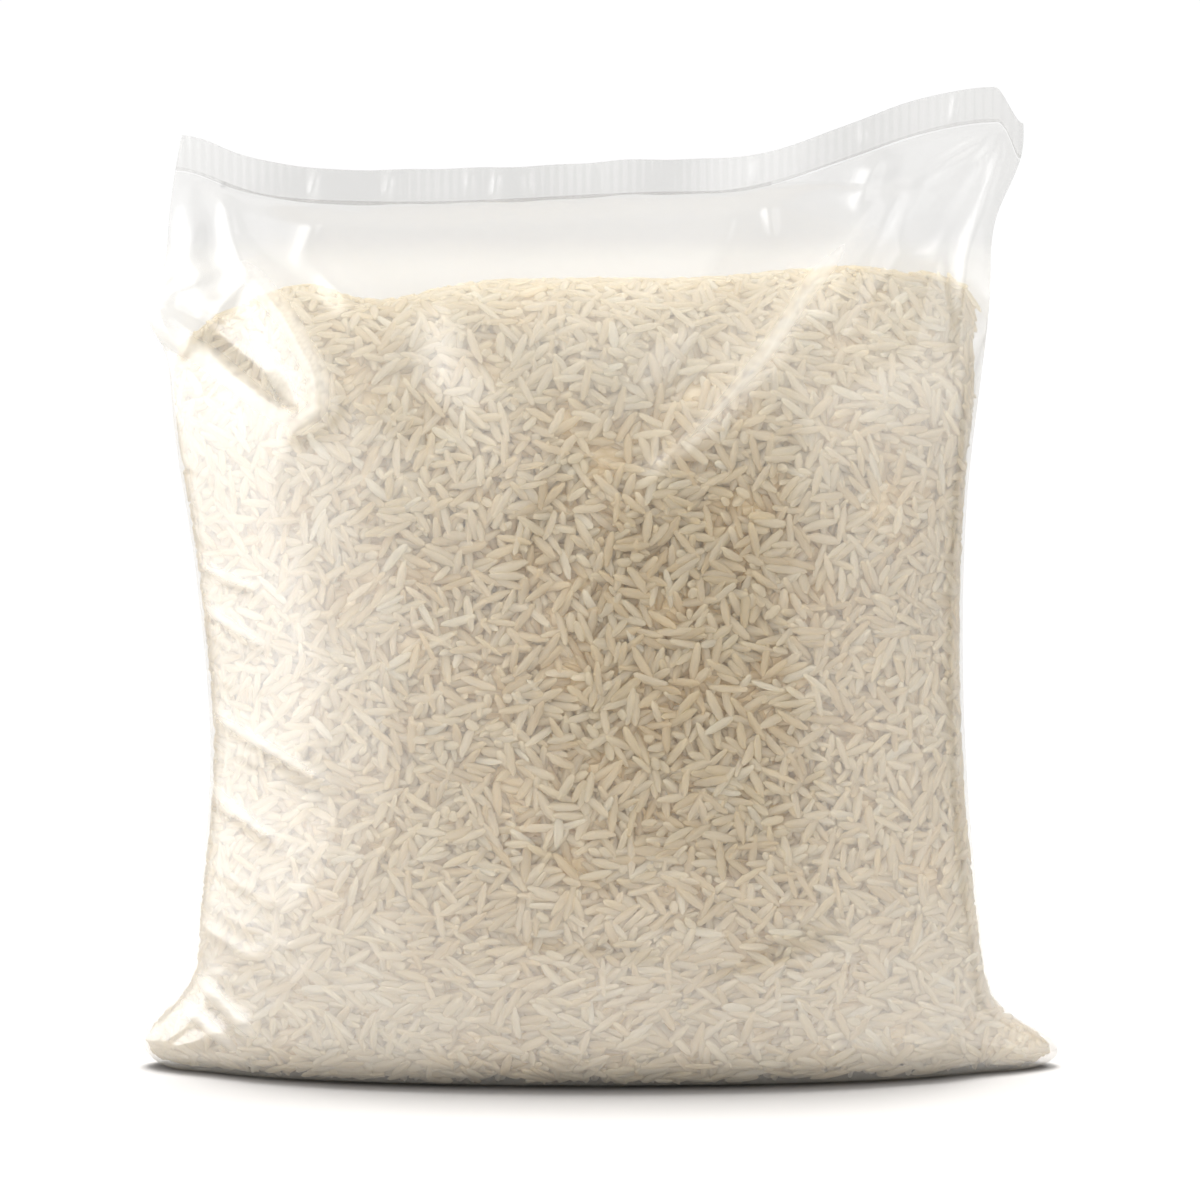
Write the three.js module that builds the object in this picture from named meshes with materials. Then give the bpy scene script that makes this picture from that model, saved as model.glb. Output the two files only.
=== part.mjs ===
// A clear film bag of long-grain rice, standing on the flat base that its own weight gives it.
// Millimetres, +Z up, front towards -Y, origin in the middle of the base.
// The bag is a flat tube of film, sealed across both ends: the bottom corners stick out as ears,
// the body is drawn in by the rice behind it, and the empty top closes to a thin sealed band.

import * as THREE from 'three';
import { mergeVertices } from 'three/addons/utils/BufferGeometryUtils.js';

// Driving dimensions.
const HEIGHT = 189; // table to the highest corner of the cut edge
const EDGE_HEIGHT = 175; // table to the cut edge at the middle
const SEAL_THICKNESS = 1; // the sealed band of this solid
const SEAL_LINE = 170; // where front and back film meet
const SHOULDER = 128; // above it the body turns into the flat top
const BASE_ROUND = 8; // round from the base up into the front and back
const EAR_LIFT = 0.8; // the ears' tips stand clear of the table
const SIDE_ROUND = 0.035; // share of each half sheet that turns round the side

// Grid of the solid.
const ACROSS = 46;
const UP = 40;
const END_ROWS = 0.5; // how much closer the rows lie at both ends

const { smoothstep, lerp } = THREE.MathUtils;

const bump = ( distance, width ) => Math.exp( - ( ( distance / width ) ** 2 ) );

// A smooth curve through a few [height, size] stations.
function profile( stations ) {

	const heights = stations.map( ( [ height ] ) => height );
	const sizes = stations.map( ( [ , size ] ) => size );
	const curve = new THREE.CubicInterpolant( heights, sizes, 1 );
	return ( height ) => curve.evaluate( height )[ 0 ];

}

// How far the sides stand from the middle, and the front and back from the middle plane, at each height.
const leftEdge = profile( [
	[ 0, 79 ], [ 25, 78 ], [ 62, 75 ], [ 95, 77.5 ], [ SHOULDER, 82 ], [ 165, 82.2 ], [ HEIGHT, 78 ],
] );
const rightEdge = profile( [
	[ 0, 77.5 ], [ 25, 74 ], [ 65, 70.3 ], [ 110, 70.5 ], [ 148, 74.6 ], [ 163, 75.4 ], [ 177, 80.5 ], [ HEIGHT, 80 ],
] );
const halfDepth = profile( [
	[ 0, 31.5 ], [ 40, 33 ], [ 90, 31.5 ], [ SHOULDER, 26 ], [ 150, 16 ], [ 162, 6 ], [ SEAL_LINE, 1.5 ],
] );

// Corners that stick out of the sides: how far, at what height, over what height.
const LEFT_EAR = { reach: 10, height: 4, spread: 8.5 };
const RIGHT_EAR = { reach: 12, height: 2, spread: 7 };
const DOG_EAR = { reach: 4, height: 146, spread: 6 };

// Folds of the film. Each runs along its own line of [x, z] points,
// stands out by its rise, or sinks in where that is negative, and fades over its width.
const FRONT_FOLDS = [
	{ line: [ [ - 87, 145 ], [ - 57, 127 ] ], rise: 3, width: 5 }, // outer lip of the shoulder pocket
	{ line: [ [ - 67, 155 ], [ - 54, 137 ], [ - 56, 124 ] ], rise: 3, width: 5 }, // inner lip
	{ line: [ [ - 78, 141 ], [ - 64, 134 ] ], rise: - 4, width: 6 }, // the pocket itself
	{ line: [ [ - 35, 152 ], [ - 34, 132 ], [ - 27, 121 ] ], rise: - 4.5, width: 7 }, // dent left of the middle
	{ line: [ [ 52, 166 ], [ 31, 140 ], [ 12, 120 ] ], rise: 3, width: 5 }, // long diagonal fold
	{ line: [ [ 42, 166 ], [ 22, 142 ], [ 4, 124 ] ], rise: - 3, width: 7 }, // hollow beside it
	{ line: [ [ 74, 178 ], [ 60, 160 ], [ 44, 140 ] ], rise: - 3, width: 6 }, // hollow below the gathered corner
	{ line: [ [ 76, 176 ], [ 68, 152 ], [ 66, 126 ] ], rise: 2, width: 5 }, // fold down the right side
];
const BACK_FOLDS = [
	{ line: [ [ 84, 150 ], [ 52, 126 ] ], rise: 3.5, width: 5 },
	{ line: [ [ 78, 140 ], [ 58, 126 ] ], rise: - 5, width: 6 },
	{ line: [ [ - 62, 168 ], [ - 40, 140 ], [ - 18, 118 ] ], rise: 3, width: 5 },
	{ line: [ [ - 50, 168 ], [ - 28, 142 ], [ - 8, 124 ] ], rise: - 3, width: 6 },
	{ line: [ [ 12, 160 ], [ 18, 136 ], [ 12, 118 ] ], rise: - 4, width: 7 },
];

// How much a fold lifts the film at x, z: full along the line, easing off towards both of its ends.
function lift( fold, x, z ) {

	const point = new THREE.Vector3( x, 0, z );
	const ends = fold.line.map( ( [ px, pz ] ) => new THREE.Vector3( px, 0, pz ) );
	const nearest = new THREE.Vector3();
	let strongest = 0;
	for ( let i = 1; i < ends.length; i ++ ) {

		const stretch = new THREE.Line3( ends[ i - 1 ], ends[ i ] );
		const along = stretch.closestPointToPointParameter( point, true );
		stretch.at( along, nearest );
		const share = ( i - 1 + along ) / ( ends.length - 1 );
		const taper = Math.sqrt( Math.max( 0, Math.sin( Math.PI * lerp( 0.04, 0.96, share ) ) ) );
		strongest = Math.max( strongest, taper * bump( nearest.distanceTo( point ), fold.width ) );

	}

	return fold.rise * strongest;

}

// The cut edge rises to a small peak at the left and to the gathered corner at the right.
function edgeHeight( u ) {

	const leftPeak = 5 * bump( u + 1, 0.15 );
	const sag = - 1.8 * bump( u + 0.45, 0.4 );
	const rightRise = ( HEIGHT - EDGE_HEIGHT ) * smoothstep( u, 0.26, 0.94 );
	const corner = - 7 * smoothstep( u, 0.94, 1 );
	return EDGE_HEIGHT + leftPeak + sag + rightRise + corner;

}

// The empty top sways out of the middle plane, most at its cut edge.
function sway( u, z ) {

	const loose = smoothstep( z, 135, HEIGHT );
	return loose * ( 5 * Math.sin( 3.6 * u + 0.6 ) + 2 * Math.sin( 9 * u ) );

}

// A point of the bag. u runs from the left side, -1, to the right side, 1; w is -1 on the front film
// and 1 on the back film; v runs from the base, 0, to the cut edge, 1.
function bagPoint( u, w, v ) {

	const even = v - END_ROWS * Math.sin( 2 * Math.PI * v ) / ( 2 * Math.PI );
	const z = even * edgeHeight( u );
	const s = u * ( 1 - SIDE_ROUND * Math.abs( w ) );
	const side = Math.abs( s );
	const flat = smoothstep( z, SHOULDER, SEAL_LINE );

	// Across: a rounded body, its corners drawn out to the sides.
	const round = BASE_ROUND * ( 1 - Math.sqrt( 1 - Math.max( 0, 1 - z / BASE_ROUND ) ** 2 ) );
	const corners = u < 0 ? [ LEFT_EAR, DOG_EAR ] : [ RIGHT_EAR ];
	const reach = corners.reduce( ( sum, c ) => sum + c.reach * bump( z - c.height, c.spread ), 0 );
	const edge = ( u < 0 ? leftEdge( z ) : rightEdge( z ) ) - 0.15 * round;
	const across = lerp( Math.sin( s * Math.PI / 2 ), s, flat );
	const x = across * edge + Math.sign( s ) * reach * smoothstep( side, 0.72, 1 );

	// Front to back: full over the rice, pinched at the upper corners, and a thin band at the top.
	const pinch = 1 - 0.6 * smoothstep( side, 0.45, 0.95 ) * smoothstep( z, 118, 150 );
	const crown = Math.cos( s * Math.PI / 2 ) ** 0.86;
	const folds = w < 0 ? FRONT_FOLDS : BACK_FOLDS;
	const open = ( 1 - smoothstep( z, 164, 180 ) ) * ( 1 - smoothstep( side, 0.92, 1 ) );
	const folded = w === 0 ? 0 : open * folds.reduce( ( sum, fold ) => sum + lift( fold, x, z ), 0 );
	const body = z < SEAL_LINE ? halfDepth( z ) * pinch - round : 0;
	const thick = Math.max( SEAL_THICKNESS / 2, body * crown + folded );
	const y = sway( u, z ) + w * thick;

	const raised = EAR_LIFT * smoothstep( side, 0.86, 1 ) * bump( z, BASE_ROUND );
	return new THREE.Vector3( x, y, z + raised );

}

// The bag as one closed solid: a box whose front and back carry the two sheets of film.
function filledBag() {

	const box = new THREE.BoxGeometry( 2, 2, 1, ACROSS, 2, UP );
	box.deleteAttribute( 'normal' );
	box.deleteAttribute( 'uv' );
	const geometry = mergeVertices( box );
	const spots = geometry.attributes.position;
	for ( let i = 0; i < spots.count; i ++ ) {

		const spot = bagPoint( spots.getX( i ), spots.getY( i ), spots.getZ( i ) + 0.5 );
		spots.setXYZ( i, spot.x, spot.y, spot.z );

	}

	// The base stays at z = 0 and its middle becomes the origin.
	geometry.computeBoundingBox();
	const middle = geometry.boundingBox.getCenter( new THREE.Vector3() );
	geometry.translate( - middle.x, - middle.y, 0 );
	geometry.computeVertexNormals();
	return geometry;

}

// Milled rice under clear film: warm ivory with the film's soft gloss.
const riceUnderFilm = new THREE.MeshStandardMaterial( { color: 0xcfc3ae, roughness: 0.42, metalness: 0 } );

const bag = new THREE.Mesh( filledBag(), riceUnderFilm );
bag.name = 'filled_bag';

const part = new THREE.Group();
part.add( bag );

export default part;
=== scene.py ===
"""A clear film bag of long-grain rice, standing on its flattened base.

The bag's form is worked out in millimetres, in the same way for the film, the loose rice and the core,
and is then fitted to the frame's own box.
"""

import math

import bpy
import numpy as np
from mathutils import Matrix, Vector
from mathutils.bvhtree import BVHTree


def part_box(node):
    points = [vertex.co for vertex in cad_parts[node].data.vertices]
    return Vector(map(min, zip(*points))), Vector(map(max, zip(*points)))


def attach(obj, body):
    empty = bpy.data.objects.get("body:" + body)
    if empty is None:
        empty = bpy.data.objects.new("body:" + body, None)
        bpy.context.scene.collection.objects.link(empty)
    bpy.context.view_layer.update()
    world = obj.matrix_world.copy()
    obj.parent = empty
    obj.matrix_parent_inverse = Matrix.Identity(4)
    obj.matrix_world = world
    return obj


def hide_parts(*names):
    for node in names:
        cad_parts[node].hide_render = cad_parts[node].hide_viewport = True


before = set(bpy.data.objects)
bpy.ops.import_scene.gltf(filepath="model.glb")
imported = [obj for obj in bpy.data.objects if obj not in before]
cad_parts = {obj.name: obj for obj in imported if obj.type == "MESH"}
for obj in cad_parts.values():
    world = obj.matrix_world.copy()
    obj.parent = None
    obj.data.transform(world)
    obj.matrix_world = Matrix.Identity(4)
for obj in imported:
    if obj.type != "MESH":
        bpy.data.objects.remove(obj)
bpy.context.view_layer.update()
BAG_LOW, BAG_HIGH = (np.array(corner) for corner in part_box("filled_bag"))
MM = 0.001

# ---------------------------------------------------------------- sizes of the bag, in millimetres

HEIGHT = 189  # table to the highest corner of the cut edge
EDGE_HEIGHT = 175  # table to the cut edge at the middle
BAND = 6.5  # height of the sealed band
BAND_THICK = 0.14
TUCKED_IN = 0.4  # how far the tube runs up inside the band
SEAL_LINE = 170  # where front and back film meet
SHOULDER = 128  # above it the body turns into the flat top
BASE_ROUND = 8  # round from the base up into the front and back
EAR_LIFT = 0.8  # the ears' tips stand clear of the table
FILM_GAP = 0.12  # half the distance between the two sheets where they lie together
RICE_LEVEL = 153  # table to the top of the rice
RICE_CROWN = 9  # round from the rice's front up into its top
FILM_SLACK = 0.5  # the film's clearance over the outermost grains
CORE_INSET = 3.2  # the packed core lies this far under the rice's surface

LEFT_EAR = {"reach": 10, "height": 4, "spread": 8.5}
RIGHT_EAR = {"reach": 12, "height": 2, "spread": 7}
DOG_EAR = {"reach": 4, "height": 146, "spread": 6}

# ---------------------------------------------------------------- small helpers


def smooth(low, high, x):
    """0 below low, 1 above high, eased between them."""
    t = np.clip((x - low) / (high - low), 0, 1)
    return t * t * (3 - 2 * t)


def bump(x, width, power=2.0):
    return np.exp(-(np.abs(x / width) ** power))


def profile(*stations):
    """A smooth curve through a few (height, size) stations."""
    h, r = np.array(stations, float).T
    slope = np.gradient(r, h)

    def at(z):
        z = np.clip(z, h[0], h[-1])
        i = np.clip(np.searchsorted(h, z) - 1, 0, len(h) - 2)
        step = h[i + 1] - h[i]
        t = (z - h[i]) / step
        ends = r[i] * (1 + 2 * t) * (1 - t) ** 2 + r[i + 1] * t * t * (3 - 2 * t)
        return ends + step * (slope[i] * t * (1 - t) ** 2 - slope[i + 1] * t * t * (1 - t))

    return at


left_edge = profile((0, 79), (25, 78), (62, 75), (95, 77.5), (SHOULDER, 82), (165, 82.2), (HEIGHT, 78))
right_edge = profile(
    (0, 77.5), (25, 74), (65, 70.3), (110, 70.5), (148, 74.6), (163, 75.4), (177, 80.5), (HEIGHT, 80)
)
half_depth = profile((0, 31.5), (40, 33), (90, 31.5), (SHOULDER, 26), (150, 16), (162, 6), (SEAL_LINE, 1.5))


def along_line(line, x, z):
    """Distance of x, z from a line of points, and how far along it the nearest place is, from 0 to 1."""
    best, share = np.full(np.shape(x), 1e9), np.zeros(np.shape(x))
    pieces = len(line) - 1
    for i in range(pieces):
        (x0, z0), (x1, z1) = line[i], line[i + 1]
        dx, dz = x1 - x0, z1 - z0
        t = np.clip(((x - x0) * dx + (z - z0) * dz) / (dx * dx + dz * dz), 0, 1)
        distance = np.hypot(x - x0 - t * dx, z - z0 - t * dz)
        nearer = distance < best
        best = np.where(nearer, distance, best)
        share = np.where(nearer, (i + t) / pieces, share)
    return best, share


def fold(line, rise, width, power, x, z):
    """How much a fold lifts the film: full along its line, easing off towards both ends."""
    distance, share = along_line(line, x, z)
    taper = np.sqrt(np.sin(np.pi * (0.04 + 0.92 * share)))
    return rise * taper * bump(distance, width, power)


def ripples(x, z, size, seed, count=14):
    """Gentle irregular waves about `size` across, from -1 to 1."""
    chance = np.random.default_rng(seed)
    total = np.zeros(np.shape(x))
    for _ in range(count):
        angle, phase = chance.uniform(0, 2 * np.pi, 2)
        length = size * chance.uniform(0.7, 1.6)
        total += np.sin((x * np.cos(angle) + z * np.sin(angle)) * 2 * np.pi / length + phase)
    return total / (0.5 * count)


# ---------------------------------------------------------------- the bag's form

# Large folds: line of (x, z) points, rise, width. A negative rise sinks into the rice.
FRONT_DENTS = [
    ([(-78, 141), (-64, 134)], -4, 6),  # the shoulder pocket
    ([(-36, 150), (-34, 134), (-28, 124)], -2.2, 8),  # dent left of the middle
    ([(42, 166), (22, 142), (4, 124)], -3, 7),  # hollow beside the long diagonal fold
    ([(74, 178), (60, 160), (44, 140)], -3, 6),  # hollow below the gathered corner
]
BACK_DENTS = [
    ([(78, 140), (58, 126)], -5, 6),
    ([(-50, 168), (-28, 142), (-8, 124)], -3, 6),
    ([(12, 160), (18, 136), (12, 118)], -4, 7),
]
# Folds that stand out from the rice: line, rise, width, sharpness (1 is a crisp crease, 2 is soft).
FRONT_FOLDS = [
    ([(-88, 146), (-74, 138.5), (-60, 128)], 3.2, 3.6, 2),  # outer lip of the shoulder pocket
    ([(-69, 156), (-60, 146), (-54, 136), (-53, 129), (-58, 125)], 3.0, 3.0, 2),  # inner lip
    ([(-67, 154), (-73, 146), (-66, 142)], 1.6, 1.6, 1.4),
    ([(-71.5, 167), (-70, 160), (-67.5, 154)], 1.8, 1.5, 1.2),
    ([(-81, 168), (-75, 146)], 1.5, 3.0, 2),
    ([(-54, 174), (-54, 164), (-57, 157)], 1.6, 1.4, 1.1),
    ([(-53, 155), (-46, 148)], 1.3, 2.5, 2),
    ([(52, 166), (41, 155), (31, 140), (21, 129), (12, 120)], 2.6, 2.0, 1.3),  # the long diagonal fold
    ([(46, 158), (37, 148)], 1.2, 4.5, 2),
    ([(31, 174), (33, 161)], 1.6, 1.2, 1.2),
    ([(27, 172), (24, 162), (21, 154)], 1.8, 1.6, 1.3),
    ([(54, 178), (49, 166)], 2.0, 1.8, 1.2),
    ([(76, 176), (70, 156), (69, 140), (68, 124)], 1.6, 2.0, 1.5),  # fold down the right side
    ([(60, 170), (50, 152), (44, 140)], 1.3, 2.0, 1.4),
    ([(68, 168), (62, 150), (60, 138)], 1.2, 2.0, 1.4),
    ([(-40, 30), (10, 24)], 0.5, 2.5, 1.6),
    ([(20, 20), (52, 30)], 0.6, 2.5, 1.6),
    ([(72, 14), (64, 6)], 1.0, 1.5, 1.2),
]
# Narrow creases, whitened partly as the film stretched white and partly as painted highlight streaks: line,
# rise, width.
FRONT_CREASES = [
    ([(-76, 98), (-65, 95)], 0.6, 1.3),
    ([(-77, 91), (-64, 84)], 0.7, 1.5),
    ([(-75, 70), (-64, 65), (-50, 58)], 0.8, 1.7),
    ([(-77, 57), (-62, 47)], 0.6, 1.6),
    ([(-80, 13), (-70, 6)], 0.6, 1.4),
    ([(-77, 18), (-66, 9)], 0.6, 1.4),
    ([(-87, 144), (-74, 137), (-60, 127)], 0.3, 2.2),
    ([(-68, 155), (-59, 145), (-53, 135), (-53, 129), (-58, 124)], 0.3, 2.0),
    ([(-66, 142), (-58, 130)], 0.4, 1.6),
    ([(50, 163), (41, 153), (31, 139), (21, 128), (12, 119)], 0.3, 1.5),
]
BACK_FOLDS = [
    ([(84, 150), (68, 139), (52, 126)], 4, 3.4, 1.6),
    ([(-62, 168), (-40, 140), (-18, 118)], 3, 2.6, 1.4),
    ([(-76, 172), (-66, 150), (-62, 132)], 2.0, 2.2, 1.4),
    ([(30, 172), (34, 156), (26, 146)], 1.6, 1.6, 1.2),
    ([(58, 170), (50, 154)], 1.6, 1.8, 1.3),
    ([(-20, 172), (-16, 158)], 1.4, 1.5, 1.2),
    ([(70, 92), (52, 84)], 1.1, 2.2, 1.4),
    ([(-72, 60), (-54, 50)], 1.1, 2.2, 1.4),
]

# Small tucks that the sealing bar leaves in the band: x, how far they lean and drop, rise.
TUCKS = [
    (-54, -1, 4.5, 0.7),
    (-40, -0.6, 4, 0.6),
    (-25, 0.4, 3.5, 0.5),
    (-19.5, -0.8, 5, 0.7),
    (-14, 0.5, 4, 0.5),
    (0, 0.2, 4.5, 0.5),
    (30, 0, 4.5, 0.5),
    (50, 0.6, 4, 0.5),
    (68, -1, 4.5, 0.6),
]

# Creases that spread from a gathered corner: its x and z, creases round it, their rise and reach.
FRONT_GATHERS = [
    (78, 182, 17, 0.75, 26),
    (-86, 148, 13, 0.8, 16),
    (-86, 3, 15, 0.7, 17),
    (86, 3, 15, 0.7, 17),
]


def edge_height(u):
    """Height of the cut edge: a small peak at the left, a sag, and the gathered corner at the right."""
    peak = 5 * bump(u + 1, 0.15)
    sag = -1.8 * bump(u + 0.45, 0.4)
    rise = (HEIGHT - EDGE_HEIGHT) * smooth(0.26, 0.94, u)
    corner = -7 * smooth(0.94, 1, u)
    return EDGE_HEIGHT + peak + sag + rise + corner


def rice_level(u):
    """Height of the rice: nearly level, lower in the left shoulder."""
    dip = -4 * bump(u + 0.42, 0.13)
    shoulder = -13 * smooth(-0.55, -1, u)
    return RICE_LEVEL + dip + shoulder + 2.5 * smooth(0.15, 0.6, u) - 6 * smooth(0.85, 1, u)


def sway(u, z):
    """The empty top sways out of the middle plane, most at its cut edge."""
    short = 2 * np.sin(9 * u) * (1 - 0.8 * smooth(0.4, 0.9, np.abs(u)))
    return smooth(135, HEIGHT, z) * (5 * np.sin(3.6 * u + 0.6) + short)


def section(u, z, inset=0.0):
    """x, middle-plane y and half thickness of the bag at height z. u is -1 at its left, 1 at its right."""
    flat = smooth(SHOULDER, SEAL_LINE, z)
    low = BASE_ROUND * (1 - np.sqrt(1 - np.clip(1 - z / BASE_ROUND, 0, 1) ** 2))
    reach = [c["reach"] * bump(z - c["height"], c["spread"]) for c in (LEFT_EAR, DOG_EAR, RIGHT_EAR)]
    reach = np.where(u < 0, reach[0] + reach[1], reach[2])
    edge = np.where(u < 0, left_edge(z), right_edge(z)) - 0.15 * low - inset
    across = np.sin(u * np.pi / 2) * (1 - flat) + u * flat
    side = np.abs(u)
    x = across * edge + np.sign(u) * reach * smooth(0.72, 1, side)
    pinch = 1 - 0.6 * smooth(0.45, 0.95, side) * smooth(118, 150, z)
    body = np.where(z < SEAL_LINE, half_depth(z) * pinch - low, 0)
    thick = np.maximum(body - inset, 0) * np.cos(u * np.pi / 2).clip(0) ** 0.86
    return x, sway(u, z), thick


def dents(w, u, x, z):
    """How far the large hollows sink the front, w = -1, and the back, w = 1."""
    soft = (1 - smooth(164, 180, z)) * (1 - smooth(0.92, 1, np.abs(u)))
    front, back = (sum(fold(*h, 2, x, z) for h in hollows) for hollows in (FRONT_DENTS, BACK_DENTS))
    return soft * np.where(w < 0, front, back)


PLEAT_PITCHES = 6.4, 4.1  # two sets of pleats that cross and so never look even
PLEAT_RISE = 0.32


def pleats(u, x, z):
    """Small slanting pleats down both sides, where the film has more width than the rice needs."""
    side = np.abs(u)
    slant = z - 0.45 * (np.abs(x) - 60)
    wander = 2.2 * ripples(x, z, 34, 7)
    wide, narrow = (2 * np.pi / pitch for pitch in PLEAT_PITCHES)
    wave = np.sin((slant + wander) * wide) + 0.6 * np.sin((slant - wander) * narrow)
    crest = np.clip(wave, 0, None) ** 2
    where = smooth(0.5, 0.9, side) * smooth(14, 30, z) * (1 - smooth(118, 138, z))
    return PLEAT_RISE * crest * where * (0.65 + 0.35 * ripples(x, z, 26, 11))


def gathers(x, z):
    """Creases that spread out from the gathered corners."""
    total = np.zeros(np.shape(x))
    for cx, cz, count, rise, reach in FRONT_GATHERS:
        distance = np.hypot(x - cx, z - cz)
        angle = np.arctan2(z - cz, x - cx)
        wave = np.cos(count * angle + 0.6 * np.sin(distance / 5))
        total += rise * (0.5 + 0.5 * wave) ** 2 * bump(distance, reach) * smooth(0, 6, distance)
    return total


def creases(x, z):
    """How much the narrow creases lift the film, and how white they make it, 0 to 1: partly the film
    stretched white, partly painted highlight streaks.
    """
    lift = sum(fold(line, rise, width, 1.5, x, z) for line, rise, width in FRONT_CREASES)
    white = sum(fold(line, 1.0, 0.8 * width, 2, x, z) for line, rise, width in FRONT_CREASES)
    return lift, np.minimum(white, 1)


def wrinkles(w, u, x, z):
    """Everything that stands out from the rice: folds, pleats, gathers and a faint unevenness."""
    front, back = (sum(fold(*f, x, z) for f in folds) for folds in (FRONT_FOLDS, BACK_FOLDS))
    large = np.where(w < 0, front, back)
    uneven = 0.16 * (1 + ripples(x, z, 17, 3)) + 0.05 * (1 + ripples(x, z, 6, 5))
    seal = 1 - smooth(0, 2.5, z - edge_height(u) + BAND + 2.5)
    large = large + np.where(w < 0, creases(x, z)[0], 0) + gathers(x, z)
    small = pleats(u, x, z) + uneven
    side = np.abs(u)
    return seal * (large * (1 - smooth(0.92, 1, side)) + small * (1 - 0.75 * smooth(0.9, 1, side)))


def film_point(u, w, z):
    """The film: front sheet where w is -1, back sheet where it is 1."""
    x, middle, thick = section(u, z)
    out = thick + dents(w, u, x, z) + wrinkles(w, u, x, z) * smooth(0, 3, z)
    close = 1 - smooth(-5, 0, z - edge_height(u) + BAND - TUCKED_IN)
    lifted = EAR_LIFT * smooth(0.86, 1, np.abs(u)) * bump(z, BASE_ROUND)
    gap = np.minimum(FILM_GAP, 20 * (1 - np.abs(u)))
    return np.stack([x, middle + w * np.maximum(out, gap) * close, z + lifted], -1)


def rice_point(u, w, share, inset):
    """The rice's own surface, `inset` under the film. share runs from its base, 0, to its top, 1."""
    top = rice_level(u) - inset
    z = inset + share * (top - inset)
    x, middle, thick = section(u, z, inset)
    crown = np.sqrt(1 - np.clip((z - top + RICE_CROWN) / RICE_CROWN, 0, 1) ** 2)
    out = np.maximum(thick + dents(w, u, x, z), 0) * crown
    lifted = EAR_LIFT * smooth(0.86, 1, np.abs(u)) * bump(z, BASE_ROUND)
    return np.stack([x, middle + w * out, z + lifted], -1)


# The bag's own box, and how it is fitted to the frame's.
every_u, every_share = np.meshgrid(np.linspace(-1, 1, 801), np.linspace(0, 1, 401))
every_x, _, every_thick = section(every_u, every_share * edge_height(every_u))
OWN_LOW = np.array([every_x.min(), -every_thick.max(), 0])
OWN_HIGH = np.array([every_x.max(), every_thick.max(), edge_height(every_u).max()])


def to_frame(points):
    """Millimetres of the bag's own form to metres in the frame."""
    scale = (BAG_HIGH - BAG_LOW) / (OWN_HIGH - OWN_LOW)
    scale[1] = MM
    middle = (OWN_HIGH + OWN_LOW) / 2
    offset = np.array([(BAG_HIGH + BAG_LOW)[0] / 2, 0, 0])
    return (points - middle * (1, 0, 0)) * scale + offset


# ---------------------------------------------------------------- meshes


def deselect():
    bpy.ops.object.select_all(action="DESELECT")


def grid_sheet(name, columns, rows, place):
    """A grid wrapped round the bag by place(a, b), with its seam, base and top merged shut."""
    deselect()
    bpy.ops.mesh.primitive_grid_add(x_subdivisions=columns, y_subdivisions=rows, size=2)
    piece = bpy.context.object
    piece.name = piece.data.name = name
    spots = np.zeros(len(piece.data.vertices) * 3, np.float32)
    piece.data.vertices.foreach_get("co", spots)
    a, b = spots.reshape(-1, 3)[:, :2].astype(float).T
    piece.data.vertices.foreach_set("co", to_frame(place(a, b)).astype(np.float32).ravel())
    bpy.ops.object.mode_set(mode="EDIT")
    bpy.ops.mesh.select_all(action="SELECT")
    bpy.ops.mesh.remove_doubles(threshold=0.00002)
    bpy.ops.mesh.dissolve_degenerate(threshold=0.00001)
    bpy.ops.mesh.select_all(action="SELECT")
    bpy.ops.mesh.normals_make_consistent(inside=False)
    bpy.ops.object.mode_set(mode="OBJECT")
    bpy.ops.object.shade_smooth_by_angle(angle=math.radians(70))
    return piece


def round_the_tube(a):
    """Place round the tube, -1 to 1, as u across the bag and w for the front or back sheet."""
    return np.where(a < 0, 2 * a + 1, 1 - 2 * a), np.where(a < 0, -1.0, 1.0)


BASE_ROWS = 0.16  # share of the rows that lie under the bag


def film_place(a, b):
    u, w = round_the_tube(a)
    t = (b + 1) / 2
    under = np.clip(t / BASE_ROWS, 0, 1)
    up = np.clip((t - BASE_ROWS) / (1 - BASE_ROWS), 0, 1)
    up = up - 0.25 * np.sin(2 * np.pi * up) / (2 * np.pi)
    spot = film_point(u, w, up * (edge_height(u) - BAND + TUCKED_IN))
    middle = film_point(u, 0 * w, 0 * up)
    return np.where((under < 1)[:, None], middle + (spot - middle) * under[:, None], spot)


def rice_place(inset):
    def place(a, b):
        u, w = round_the_tube(a)
        t = (b + 1) / 2
        under = np.clip(t / BASE_ROWS, 0, 1)
        up = np.clip((t - BASE_ROWS) / (1 - BASE_ROWS), 0, 1)
        up = np.sin(up * np.pi / 2) ** 0.9
        spot = rice_point(u, w, up, inset)
        middle = rice_point(u, 0 * w, 0 * up, inset)
        return np.where((under < 1)[:, None], middle + (spot - middle) * under[:, None], spot)

    return place


def band_place(a, b):
    """The sealed band, with a slightly uneven cut edge."""
    u, w = round_the_tube(a)
    t = (b + 1) / 2
    top = edge_height(u) + 0.3 * ripples(78 * u, 0 * u, 17, 41)
    z = top - (1 - t) * (BAND + 0.2)
    x, middle, _ = section(u, z)
    ends = np.minimum(t, 1 - t)
    gap = BAND_THICK / 2 * np.minimum(1, 30 * ends) * np.minimum(1, 40 * (1 - np.abs(u)))
    lines = [([(at, 1), (at + lean, 1 + drop)], rise) for at, lean, drop, rise in TUCKS]
    tucks = sum(fold(line, rise, 0.7, 1.4, x, top - z) for line, rise in lines)
    return np.stack([x, middle + w * (gap + tucks * np.minimum(1, 12 * ends)), z], -1)


film = grid_sheet("film", 400, 188, film_place)
band = grid_sheet("sealed_band", 640, 9, band_place)
core = grid_sheet("packed_core", 240, 110, rice_place(CORE_INSET))

# ---------------------------------------------------------------- the grains


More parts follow.
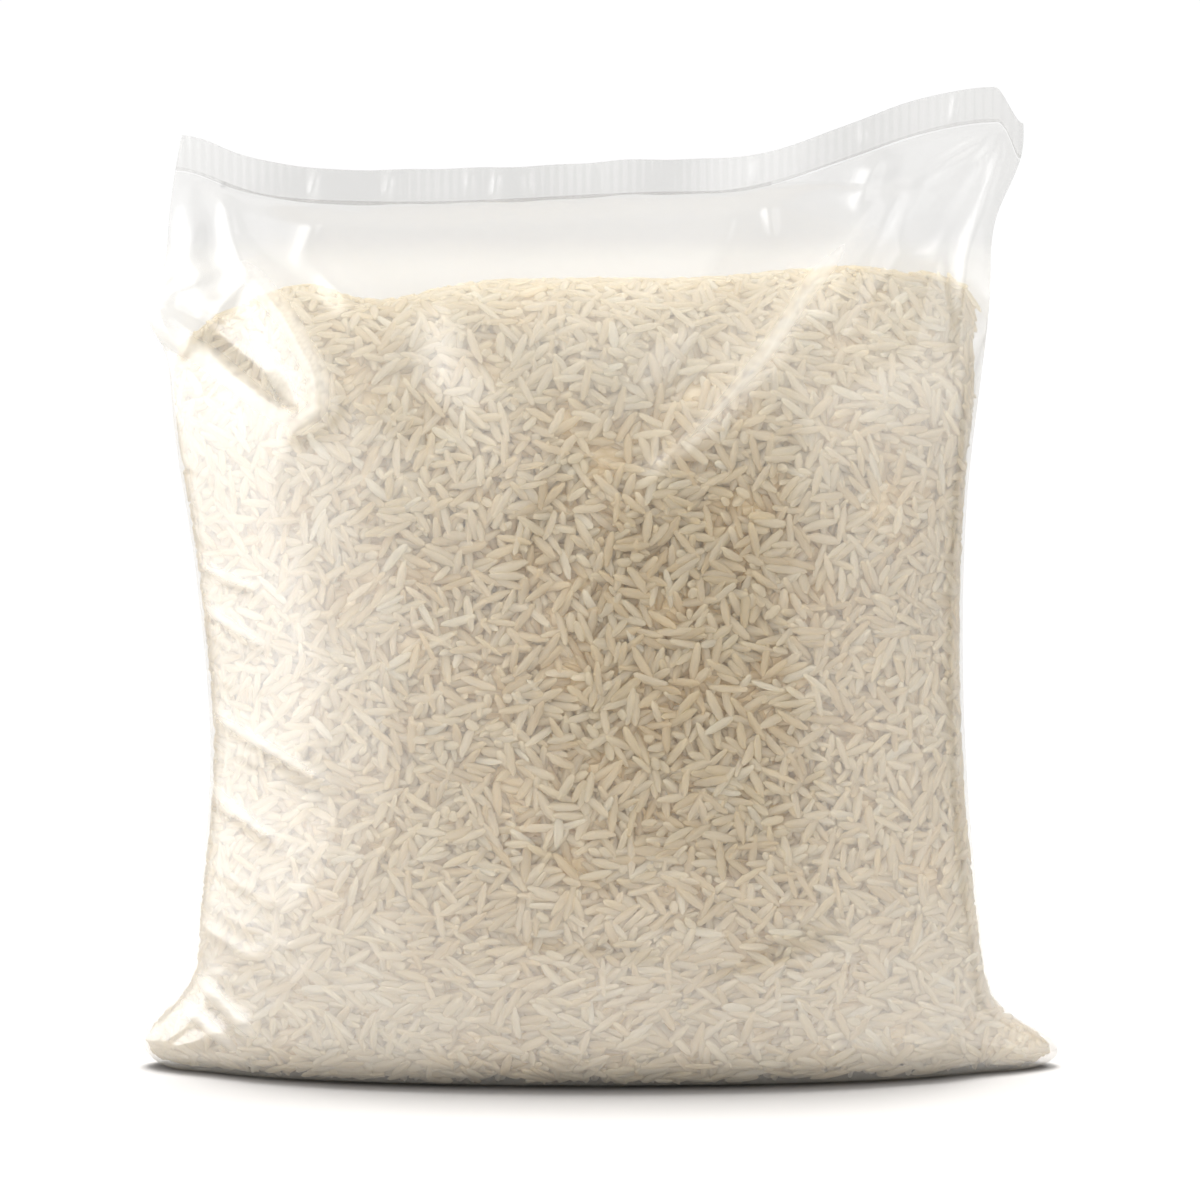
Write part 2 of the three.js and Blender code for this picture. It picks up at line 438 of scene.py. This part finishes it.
def depth_field(surface, cell=2.5):
    """Depth under a closed surface on a regular lattice, in millimetres, and its slope."""
    tree = BVHTree.FromPolygons(
        [v.co / MM for v in surface.data.vertices], [p.vertices for p in surface.data.polygons]
    )
    low, high = BAG_LOW / MM - 3 * cell, BAG_HIGH / MM + 3 * cell
    counts = np.ceil((high - low) / cell).astype(int)
    values = np.empty(counts)
    for i in np.ndindex(*counts):
        spot = Vector(low + np.array(i) * cell)
        near, normal, _, distance = tree.find_nearest(spot)
        values[i] = distance if (spot - near).dot(normal) < 0 else -distance
    return low, cell, np.stack([values, *np.gradient(values, cell)], -1)


def depth_at(field, points):
    """Depth and unit slope at points, between the lattice's values."""
    low, cell, values = field
    place = np.clip((points - low) / cell, 0, np.array(values.shape[:3]) - 1.001)
    i = place.astype(int)
    t = place - i
    total = 0
    for corner in np.ndindex(2, 2, 2):
        part = np.prod(np.where(corner, t, 1 - t), 1)[:, None]
        x, y, z = (i + corner).T
        total = total + part * values[x, y, z]
    slope = total[:, 1:]
    return total[:, 0], slope / np.maximum(np.linalg.norm(slope, axis=1), 1e-6)[:, None]


# Beads that stand for a grain while it settles: places along its half length, and sizes.
BEADS = np.array([-0.78, -0.4, 0, 0.4, 0.78])
BEAD_SIZES = np.array([0.62, 0.92, 1.0, 0.92, 0.62])


def close_pairs(points, grain, reach):
    """Every pair of points of different grains nearer than reach."""
    cell = np.floor((points - points.min(0)) / reach).astype(np.int64) + 1
    spans = cell.max(0) + 2
    key = (cell[:, 0] * spans[1] + cell[:, 1]) * spans[2] + cell[:, 2]
    order = np.argsort(key, kind="stable")
    ranked = key[order]
    first, second = [], []
    for dx, dy, dz in np.ndindex(3, 3, 3):
        step = ((dx - 1) * spans[1] + dy - 1) * spans[2] + dz - 1
        if step < 0:
            continue
        start = np.searchsorted(ranked, key + step, "left")
        count = np.searchsorted(ranked, key + step, "right") - start
        i = np.repeat(np.arange(len(points)), count)
        j = order[np.repeat(start - np.cumsum(count) + count, count) + np.arange(count.sum())]
        keep = (grain[i] != grain[j]) & ((step > 0) | (i < j))
        i, j = i[keep], j[keep]
        near = ((points[i] - points[j]) ** 2).sum(1) < reach * reach
        first.append(i[near])
        second.append(j[near])
    return np.concatenate(first), np.concatenate(second)


def settle(centres, axes, halves, radii, field, shell, rounds):
    """Pushes overlapping grains apart inside the shell under the film until they lie against each other."""
    count, beads = len(centres), len(BEADS)
    grain = np.repeat(np.arange(count), beads)
    offsets = halves[:, None] * BEADS
    sizes = (radii[:, None] * BEAD_SIZES).ravel()
    spread = (offsets**2).sum(1)
    for turn in range(rounds):
        points = (centres[:, None] + axes[:, None] * offsets[..., None]).reshape(-1, 3)
        if turn % 4 == 0:
            i, j = close_pairs(points, grain, 2 * radii.max() + 0.3)
            reach = sizes[i] + sizes[j]
        apart = points[i] - points[j]
        distance = np.maximum(np.linalg.norm(apart, axis=1), 1e-6)
        push = np.maximum(reach - distance, 0) * 0.5
        hit = push > 0
        shove = apart[hit] / distance[hit, None] * push[hit, None]
        a, b = i[hit], j[hit]
        pushed = [np.bincount(a, way, len(points)) - np.bincount(b, way, len(points)) for way in shove.T]
        move = np.stack(pushed, 1)
        hits = np.bincount(a, minlength=len(points)) + np.bincount(b, minlength=len(points))
        move /= np.maximum(hits, 1)[:, None] ** 0.5
        depth, slope = depth_at(field, points)
        wall = np.maximum(sizes - depth, 0) - 0.15 * np.maximum(depth + sizes - shell, 0)
        move += slope * wall[:, None]
        move = move.reshape(count, beads, 3)
        centres = centres + 1.2 * move.mean(1)
        axes = axes + 1.2 * (offsets[..., None] * move).sum(1) / spread[:, None]
        axes /= np.linalg.norm(axes, axis=1)[:, None]
    return centres, axes


chance = np.random.default_rng(20)
SHELL = 4.4  # thickness of the loose grains over the core
LAYERS = {0.9: 0.4, 2.0: 0.34, 3.1: 0.26}  # depth of each layer of grains, and its share of them
GRAINS = 26000  # places tried, before the base is thinned out
HALF_LENGTH = 3.45  # of a whole grain
BROKEN_SHARE = 0.13
BEAD_RADIUS = 0.6
GRAIN_WIDTH = 1.5  # half width and half depth of a grain, over the size of its middle bead
GRAIN_DEPTH = 0.92
rice_skin = grid_sheet("rice_skin", 200, 100, rice_place(FILM_SLACK))


def scatter(surface, count):
    """Places over a surface, evenly by area, with the outward normal at each."""
    mesh = surface.data
    mesh.calc_loop_triangles()
    corners = np.zeros(len(mesh.loop_triangles) * 3, np.int32)
    mesh.loop_triangles.foreach_get("vertices", corners)
    spots = np.zeros(len(mesh.vertices) * 3, np.float32)
    mesh.vertices.foreach_get("co", spots)
    p = spots.reshape(-1, 3).astype(float)[corners.reshape(-1, 3)] / MM
    across = np.cross(p[:, 1] - p[:, 0], p[:, 2] - p[:, 0])
    area = np.linalg.norm(across, axis=1)
    pick = chance.choice(len(p), count, p=area / area.sum())
    s, t = chance.random((2, count))
    s, t = np.where(s + t > 1, 1 - s, s), np.where(s + t > 1, 1 - t, t)
    place = p[pick, 0] + s[:, None] * (p[pick, 1] - p[pick, 0]) + t[:, None] * (p[pick, 2] - p[pick, 0])
    return place, across[pick] / area[pick, None]


def lay_grains():
    """The loose grains, settled against the film and each other."""
    place, normal = scatter(rice_skin, GRAINS)
    keep = (normal[:, 2] > -0.93) | (chance.random(GRAINS) < 0.12)
    place, normal = place[keep], normal[keep]
    count = len(place)
    depth = chance.choice(list(LAYERS), count, p=list(LAYERS.values())) + chance.normal(0, 0.2, count)
    x, z = place[:, 0], place[:, 2]
    flow = ripples(x, z, 60, 31) + 0.6 * ripples(x, z, 24, 32)
    high = smooth(5, 80, z)
    angle = flow * (0.2 + 0.4 * high) + chance.normal(0, 1, count) * (0.65 + 0.45 * high)
    level = np.cross(normal, [0, 0, 1.0])
    level /= np.maximum(np.linalg.norm(level, axis=1), 1e-3)[:, None]
    upward = np.cross(level, normal)
    axes = level * np.cos(angle)[:, None] + upward * np.sin(angle)[:, None]
    axes += normal * chance.normal(0, 0.18, count)[:, None]
    axes /= np.linalg.norm(axes, axis=1)[:, None]
    halves = chance.normal(HALF_LENGTH, 0.4, count).clip(2.4, 4.3)
    broken = chance.random(count) < BROKEN_SHARE
    halves = np.where(broken, chance.uniform(1.0, 2.4, count), halves)
    radii = chance.normal(BEAD_RADIUS, 0.05, count).clip(0.5, 0.74)
    return place - normal * depth[:, None], axes, halves, radii, broken


def grain_form():
    """One polished grain on the Z axis, from -1 to 1: a blunt spindle with the notch the germ leaves."""
    deselect()
    bpy.ops.mesh.primitive_uv_sphere_add(segments=5, ring_count=5, radius=1)
    form = bpy.context.object
    spots = np.array([v.co for v in form.data.vertices])
    latitude = np.arcsin(spots[:, 2].clip(-1, 1)) * 2 / np.pi
    length = latitude * (2.0 - np.abs(latitude))
    girth = (1 - length**4).clip(0) ** 0.58
    around = spots[:, :2] / np.maximum(np.linalg.norm(spots[:, :2], axis=1), 1e-6)[:, None]
    around[np.abs(spots[:, 2]) > 0.999] = 0
    notch = 0.3 * bump(length - 0.82, 0.2) * (around[:, 0] > 0.3)
    spots[:, :2] = around * (girth - notch)[:, None]
    spots[:, 2] = length
    faces = [tuple(p.vertices) for p in form.data.polygons]
    bpy.data.objects.remove(form)
    return spots, faces


def grain_mesh(name, pick):
    """One piece of many grains, each its own length, width, bend and tone; the tone is painted lighter on
    grains near the top, standing for the light on the rice's top.
    """
    spots, faces = GRAIN_FORM
    centre, axis, half, radius = (part[pick] for part in (centres, axes, halves, radii))
    count = len(pick)
    _, inward = depth_at(FIELD, centre)
    lean = inward + chance.normal(0, 0.3, (count, 3))
    flank = np.cross(axis, lean)
    flank /= np.linalg.norm(flank, axis=1)[:, None]
    thick = np.cross(axis, flank)
    bend = chance.normal(0, 0.05, count) * half
    flip = chance.choice([-1, 1], count)
    x, y, z = spots.T
    along = np.outer(half * flip, z)
    across = np.outer(radius * GRAIN_WIDTH, x) + np.outer(bend, z * z - 0.3)
    through = np.outer(radius * GRAIN_DEPTH, y)
    points = centre[:, None] + sum(
        way[:, None] * far[..., None] for way, far in ((axis, along), (flank, across), (thick, through))
    )
    points = points.reshape(-1, 3)
    table = np.array([len(f) for f in faces])
    corners = np.concatenate([np.array(f) for f in faces])
    shift = np.arange(count)[:, None] * len(spots)
    mesh = bpy.data.meshes.new(name)
    mesh.vertices.add(len(points))
    mesh.vertices.foreach_set("co", (points * MM).astype(np.float32).ravel())
    mesh.loops.add(count * len(corners))
    mesh.loops.foreach_set("vertex_index", (corners + shift).astype(np.int32).ravel())
    sizes = np.tile(table, count)
    mesh.polygons.add(len(sizes))
    mesh.polygons.foreach_set("loop_start", np.concatenate([[0], np.cumsum(sizes)[:-1]]).astype(np.int32))
    # Tone differs at random from grain to grain, and rises with height as painted light on the rice's top.
    tone_and_top_light = 0.75 * chance.random(count) + 0.5 * smooth(95, 150, centre[:, 2]) - 0.1
    tone = mesh.attributes.new("tone", "FLOAT", "POINT")
    tone.data.foreach_set("value", np.repeat(tone_and_top_light, len(spots)).astype(np.float32))
    mesh.update(calc_edges=True)
    mesh.validate()
    piece = bpy.data.objects.new(name, mesh)
    bpy.context.scene.collection.objects.link(piece)
    deselect()
    piece.select_set(True)
    bpy.context.view_layer.objects.active = piece
    bpy.ops.object.mode_set(mode="EDIT")
    bpy.ops.mesh.select_all(action="SELECT")
    bpy.ops.mesh.normals_make_consistent(inside=False)
    bpy.ops.object.mode_set(mode="OBJECT")
    bpy.ops.object.shade_smooth()
    return piece


GRAIN_FORM = grain_form()
FIELD = depth_field(rice_skin)
places, laid, halves, radii, broken = lay_grains()
centres, axes = settle(places, laid, halves, radii, FIELD, SHELL, 90)
# Whole grains of each kind, by where their share of the lot begins.
WHOLE_KINDS = {
    "chalky_grains": 0,
    "pearly_grains": 0.04,
    "ivory_grains": 0.23,
    "clear_grains": 0.42,
    "pale_grains": 0.61,
    "cream_grains": 0.8,
}
kind = np.searchsorted(list(WHOLE_KINDS.values()), chance.random(len(centres)), side="right") - 1
grains = {"broken_grains": grain_mesh("broken_grains", np.flatnonzero(broken))}
for i, name in enumerate(WHOLE_KINDS):
    grains[name] = grain_mesh(name, np.flatnonzero(~broken & (kind == i)))


def mark_film(piece):
    """Marks the film's haze, 0 to 1, raised at the sides, low down and over the top as painted sheen, and
    where it stands empty, well clear of the rice.
    """
    spots = np.zeros(len(piece.data.vertices) * 3, np.float32)
    piece.data.vertices.foreach_get("co", spots)
    spots = spots.reshape(-1, 3) / MM
    depth, _ = depth_at(FIELD, spots)
    x, y, z = spots.T
    # Painted sheen: the white veils low down, along the left and right sides and over the top stand for the
    # lamps' sheen and the light falling there; only the haze where the film stands clear of the rice is its
    # own.
    low = 0.5 * (1 - smooth(8, 48, z))
    left = 0.45 * smooth(15, 66, -x)
    right = 0.25 * smooth(20, 70, x)
    over = 0.65 * smooth(108, 150, z) + 0.15 * smooth(-25, 10, x) * smooth(100, 135, z)
    against = np.minimum(low + left + right + over, 0.7) * (1 - 0.8 * smooth(154, 162, z))
    # The creases' white, on the front only, is partly stretched film and partly painted highlight streaks.
    haze_and_painted_sheen = np.maximum(0.2 * smooth(0.8, 3.7, -depth), against) + 0.8 * creases(x, z)[1] * (y < 0)
    for name, values in {"haze_and_painted_sheen": haze_and_painted_sheen, "empty": smooth(1, 4.2, -depth)}.items():
        mark = piece.data.attributes.new(name, "FLOAT", "POINT")
        mark.data.foreach_set("value", values.astype(np.float32))


mark_film(film)
mark_film(band)
bpy.data.objects.remove(rice_skin)

# ---------------------------------------------------------------- materials

SEEN_THROUGH = 0.73  # share of the light on a grain that passes through it
TABLE_RADIUS = 0.5
TABLE_DROP = 0.4 * MM  # the table lies clear of the bag's base


def linear(code):
    """An sRGB hex colour as linear RGBA."""
    parts = [int(code[i : i + 2], 16) / 255 for i in (0, 2, 4)]
    return [*(c / 12.92 if c <= 0.04045 else ((c + 0.055) / 1.055) ** 2.4 for c in parts), 1]


def add(tree, kind, inputs=None, **settings):
    """A node with its settings; inputs are values, or sockets to link."""
    made = tree.nodes.new("ShaderNode" + kind)
    for key, value in settings.items():
        setattr(made, key, value)
    for key, value in (inputs or {}).items():
        if isinstance(value, bpy.types.NodeSocket):
            tree.links.new(value, made.inputs[key])
        else:
            made.inputs[key].default_value = value
    return made


def new_material(name):
    made = bpy.data.materials.new(name)
    made.use_nodes = True
    made.node_tree.nodes.clear()
    return made, made.node_tree


def milled_rice(name, dark, light, roughness):
    """Milled white rice: dried starch with a faint gloss from polishing. Most of the light passes on through
    a grain, so the eye sees soft creamy grains with no hard shade between them."""
    made, tree = new_material(name)
    # The tone mark mixes the dark and light rice colours; its rise towards the top is painted light.
    tone = add(tree, "Attribute", attribute_name="tone")
    tones = {"Factor": tone.outputs["Fac"], 6: linear(dark), 7: linear(light)}
    colour = add(tree, "Mix", tones, data_type="RGBA").outputs[2]
    polish = {"Base Color": colour, "Roughness": roughness, "IOR": 1.5, "Specular IOR Level": 0.15}
    body = add(tree, "BsdfPrincipled", polish)
    glow = add(tree, "BsdfTranslucent", {"Color": colour})
    mixed = add(tree, "MixShader", {0: SEEN_THROUGH, 1: body.outputs[0], 2: glow.outputs[0]})
    add(tree, "OutputMaterial", {"Surface": mixed.outputs[0]})
    return made


def packed_rice():
    """The rice behind the loose grains, as coarse as they are, coloured a darker tan than the grains:
    painted shade that gives the gaps between them a warm shaded tan.
    """
    made, tree = new_material("packed_rice")
    place = add(tree, "TexCoord").outputs["Object"]
    lying = (1 / (6.2 * MM), 1 / (6.2 * MM), 1 / (2.4 * MM))  # grains lie level, 6.2 mm long and 2.4 mm high
    stretched = add(tree, "Mapping", {"Vector": place, "Scale": lying}).outputs[0]
    cells = add(tree, "TexVoronoi", {"Vector": stretched, "Scale": 1.0}, feature="DISTANCE_TO_EDGE")
    colour = add(tree, "ValToRGB", {"Fac": cells.outputs["Distance"]})
    # Painted shade: the cell edges take the darker tan, standing for the shade in the gaps between grains.
    colour.color_ramp.elements[0].color = linear("cdb78d")
    colour.color_ramp.elements[1].color = linear("e8d8b8")
    colour.color_ramp.elements[1].position = 0.3
    relief = add(tree, "Bump", {"Height": cells.outputs["Distance"], "Distance": 0.8 * MM, "Strength": 0.8})
    rough = {"Base Color": colour.outputs[0], "Roughness": 0.6, "Normal": relief.outputs[0]}
    body = add(tree, "BsdfPrincipled", rough)
    add(tree, "OutputMaterial", {"Surface": body.outputs[0]})
    return made


def clear_film(name, tint, haze, sheen, ribbed=False):
    """Blown polyethylene film, 0.06 mm thick. It is clear where it lies on the rice and hazy where it is
    slack or creased, and its white haze is raised at the sides, low down and over the top as painted sheen.
    Its gloss has a crisp part and a broad soft bloom, and both grow at a slant."""
    made, tree = new_material(name)
    place = add(tree, "TexCoord").outputs["Object"]
    waves = add(tree, "TexNoise", {"Vector": place, "Scale": 1 / (9 * MM), "Detail": 0.0}).outputs[0]
    normal = add(tree, "Bump", {"Height": waves, "Distance": 0.7 * MM, "Strength": 0.6}).outputs[0]
    if ribbed:
        # A wave texture has a band each tau / 20 of its scale: the sealing bar's ribs are 1.75 mm apart.
        close = {"Vector": place, "Scale": math.tau / (20 * 1.75 * MM), "Distortion": 0.4}
        ribs = add(tree, "TexWave", close, bands_direction="X").outputs[0]
        ribbing = {"Height": ribs, "Distance": 0.1 * MM, "Strength": 0.6, "Normal": normal}
        normal = add(tree, "Bump", ribbing).outputs[0]
    slant = add(tree, "LayerWeight", {"Blend": 0.5}).outputs["Facing"]
    steep = add(tree, "Math", {0: slant, 1: 4.0}, operation="POWER").outputs[0]
    haze_and_painted_sheen_mark = add(tree, "Attribute", attribute_name="haze_and_painted_sheen").outputs["Fac"]
    empty = add(tree, "Attribute", attribute_name="empty").outputs["Fac"]

    def share(value, times, more):
        """value times a factor, and more, as the share of a layer."""
        sums = {0: value, 1: times, 2: more}
        return add(tree, "Math", sums, operation="MULTIPLY_ADD", use_clamp=True).outputs[0]

    def layer(amount, under, over):
        return add(tree, "MixShader", {0: amount, 1: under, 2: over}).outputs[0]

    through = add(tree, "BsdfTransparent", {"Color": linear(tint)}).outputs[0]
    lit = add(tree, "BsdfDiffuse", {"Color": linear("f5f2eb")}).outputs[0]
    lit_behind = add(tree, "BsdfTranslucent", {"Color": linear("dfdcd6")}).outputs[0]
    # The haze mark sets how much white haze covers the film. Part of it is painted sheen, placed by
    # position.
    sheet = layer(share(slant, 0.05, share(haze_and_painted_sheen_mark, 0.32, haze)), through, layer(0.3, lit, lit_behind))
    lying = add(tree, "MapRange", {"Value": empty, "To Min": sheen, "To Max": 0.35 * sheen}).outputs[0]
    bloom = add(tree, "BsdfGlossy", {"Color": (1, 1, 1, 1), "Roughness": 0.26}).outputs[0]
    shine = add(tree, "BsdfGlossy", {"Color": (1, 1, 1, 1), "Roughness": 0.12, "Normal": normal}).outputs[0]
    whole = layer(share(steep, 0.15, 0.025), layer(share(steep, 0.1, lying), sheet, bloom), shine)
    add(tree, "OutputMaterial", {"Surface": whole})
    return made


def table_top():
    """Matt studio paper. It fades out into the white round it, so the eye sees no horizon."""
    made, tree = new_material("white_table")
    place = add(tree, "TexCoord").outputs["Object"]
    far = add(tree, "VectorMath", {0: place}, operation="LENGTH")
    edge = {"From Min": 0.4 * TABLE_RADIUS, "From Max": 0.96 * TABLE_RADIUS}
    fade = add(tree, "MapRange", {"Value": far.outputs["Value"], **edge})
    top = add(tree, "BsdfDiffuse", {"Color": linear("8c8a88")})
    gone = add(tree, "BsdfTransparent")
    mixed = add(tree, "MixShader", {0: fade.outputs[0], 1: top.outputs[0], 2: gone.outputs[0]})
    add(tree, "OutputMaterial", {"Surface": mixed.outputs[0]})
    return made


film.data.materials.append(clear_film("polyethylene_film", "f2f2f2", 0.02, 0.12))
band.data.materials.append(clear_film("welded_film", "efefef", 0.02, 0.1, ribbed=True))
core.data.materials.append(packed_rice())
RICE_TONES = {
    "pearly_grains": ("pearly_rice", "f5ecd6", "faf4e4", 0.38),
    "ivory_grains": ("ivory_rice", "f2e6cb", "f8f0dc", 0.36),
    "clear_grains": ("glassy_rice", "efe2c5", "f6edd6", 0.3),
    "pale_grains": ("pale_rice", "f4ead3", "faf3e2", 0.34),
    "cream_grains": ("cream_rice", "f3e8cd", "f9f2e0", 0.36),
    "chalky_grains": ("chalky_rice", "f8f2e2", "fbf7ea", 0.5),
    "broken_grains": ("broken_rice", "f4ebd5", "f8f1de", 0.42),
}
for name, tones in RICE_TONES.items():
    grains[name].data.materials.append(milled_rice(*tones))

# ---------------------------------------------------------------- table, light and camera

deselect()
bpy.ops.mesh.primitive_circle_add(
    vertices=96, radius=TABLE_RADIUS, fill_type="NGON", location=(0, 0, -TABLE_DROP)
)
table = bpy.context.object
bpy.ops.object.transform_apply(location=True)
table.name = "table"
table.data.materials.append(table_top())

CENTRE = Vector((0, 0, (BAG_LOW[2] + BAG_HIGH[2]) / 2))


def softbox(name, azimuth, elevation, distance, width, height, power, glare=True, lights=True):
    """A rectangular light that faces the bag. Azimuth 0 is in front of it, and 90 to its right. Without
    glare it isn't mirrored in the gloss, and without lights it is only mirrored."""
    a, e = math.radians(azimuth), math.radians(elevation)
    out = Vector((math.sin(a) * math.cos(e), -math.cos(a) * math.cos(e), math.sin(e)))
    light = bpy.data.lights.new(name, "AREA")
    light.shape, light.size, light.size_y, light.energy = "RECTANGLE", width, height, power
    lamp = bpy.data.objects.new(name, light)
    lamp.location = CENTRE + out * distance
    lamp.rotation_euler = out.to_track_quat("Z", "Y").to_euler()
    lamp.visible_camera = False
    lamp.visible_glossy = glare
    lamp.visible_diffuse = lamp.visible_transmission = lights
    bpy.context.scene.collection.objects.link(lamp)
    return lamp


# Tall windows at the left, one over the other, so that their edges fade out in the gloss.
softbox("window_left", -80, 7, 0.9, 1.3, 1.2, 8.5, lights=False)
softbox("window_wall", -78, 7, 0.9, 2.15, 1.2, 7)
softbox("window_glow", -68, 12, 0.9, 3.4, 1.2, 11)
softbox("fill_right", 70, 12, 1.0, 1.6, 1.0, 5)
softbox("front", 10, 16, 1.5, 2.0, 1.4, 12, glare=False)
softbox("ceiling", 4, 62, 1.1, 1.6, 1.0, 9, glare=False)
softbox("behind", 180, 80, 1.0, 0.9, 0.7, 15, glare=False)
softbox("white_wall", 180, 10, 1.0, 3.6, 1.4, 14, lights=False)

# A light from above and behind for the table alone keeps it white, with a soft dark line under the bag.
lit_table = bpy.data.collections.new("lit_table")
lit_table.objects.link(table)
table_light = softbox("table_light", -165, 80, 1.0, 0.75, 0.55, 50, glare=False)
table_light.light_linking.receiver_collection = lit_table

# The room is white to the eye, and dimmer as a light.
world = bpy.data.worlds.new("white_room")
bpy.context.scene.world = world
world.use_nodes = True
world.node_tree.nodes.clear()
seen = add(world.node_tree, "LightPath").outputs["Is Camera Ray"]
strength = add(world.node_tree, "MapRange", {"Value": seen, "To Min": 0.32, "To Max": 1.02})
room = add(world.node_tree, "Background", {"Color": (1, 1, 1, 1), "Strength": strength.outputs[0]})
add(world.node_tree, "OutputWorld", {"Surface": room.outputs[0]})

CAMERA_DISTANCE = 1.25
CAMERA_RISE = 6.0  # degrees above level
FRAME_WIDTH = 0.2308  # what the picture spans at the bag
AIM = Vector((0, 0, 0.0904))
SENSOR = 36.0  # width of the film gate, in millimetres

camera = bpy.data.objects.new("camera", bpy.data.cameras.new("camera"))
bpy.context.scene.collection.objects.link(camera)
back = Vector((0, -math.cos(math.radians(CAMERA_RISE)), math.sin(math.radians(CAMERA_RISE))))
camera.location = AIM + back * CAMERA_DISTANCE
camera.rotation_euler = back.to_track_quat("Z", "Y").to_euler()
camera.data.sensor_width = SENSOR
camera.data.lens = SENSOR * CAMERA_DISTANCE / FRAME_WIDTH
bpy.context.scene.camera = camera
bpy.context.scene.view_settings.view_transform = "Standard"

# Enough turns for light to find its way through the film and in between the grains.
cycles = bpy.context.scene.cycles
cycles.max_bounces, cycles.transparent_max_bounces = 10, 12
cycles.diffuse_bounces = cycles.transmission_bounces = 7

# ---------------------------------------------------------------- hand over

for piece in (film, band, core, *grains.values()):
    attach(piece, "root")
    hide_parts("filled_bag")
